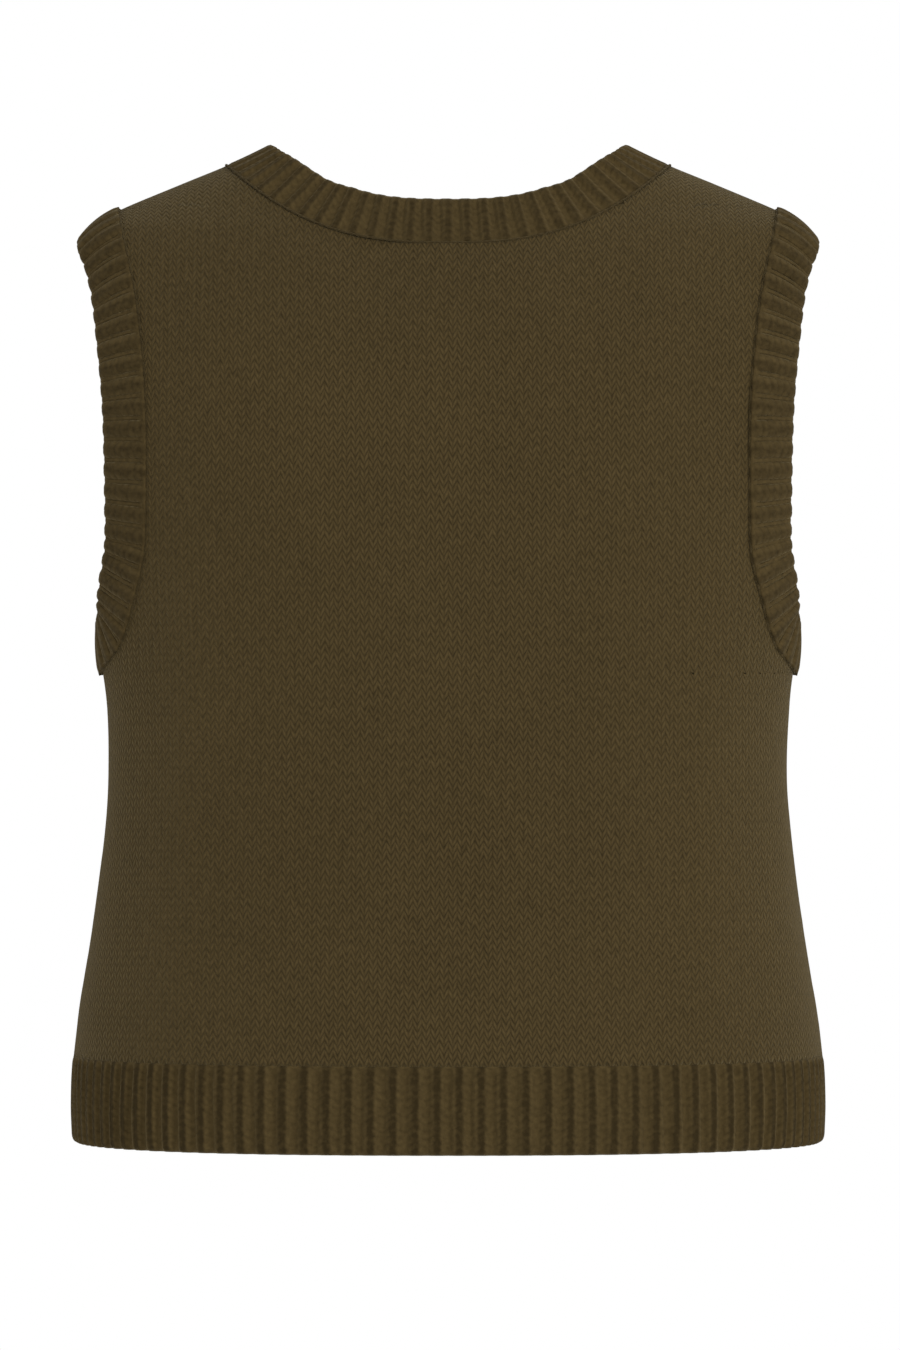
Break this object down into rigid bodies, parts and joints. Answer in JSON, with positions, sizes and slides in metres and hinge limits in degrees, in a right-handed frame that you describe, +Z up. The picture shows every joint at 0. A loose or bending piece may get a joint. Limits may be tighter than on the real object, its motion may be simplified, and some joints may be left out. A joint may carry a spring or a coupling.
{
  "type": "sleeveless open-front cardigan",
  "caption": "Sleeveless open-front cardigan in chunky olive-brown knit, hollow as when worn, with ribbed hem, armholes and neck and front band.",
  "frame": {"origin": "midway between the two neck points, level with them, where the shoulders hold the garment up", "axes": "+Z up, front towards -Y, the wearer's left towards +X"},
  "size_m": [0.4024, 0.2287, 0.5332],
  "materials": {
    "body_knit": "soft matt plain knit",
    "rib_knit": "soft matt ribbed knit"
  },
  "bodies": {
    "root": {"back_panel": "body_knit", "front_panel_left": "body_knit", "front_panel_right": "body_knit", "hem_back": "rib_knit", "hem_front_left": "rib_knit", "hem_front_right": "rib_knit", "neck_front_band": "rib_knit", "armband_left": "rib_knit", "armband_right": "rib_knit"}
  },
  "joints": []
}
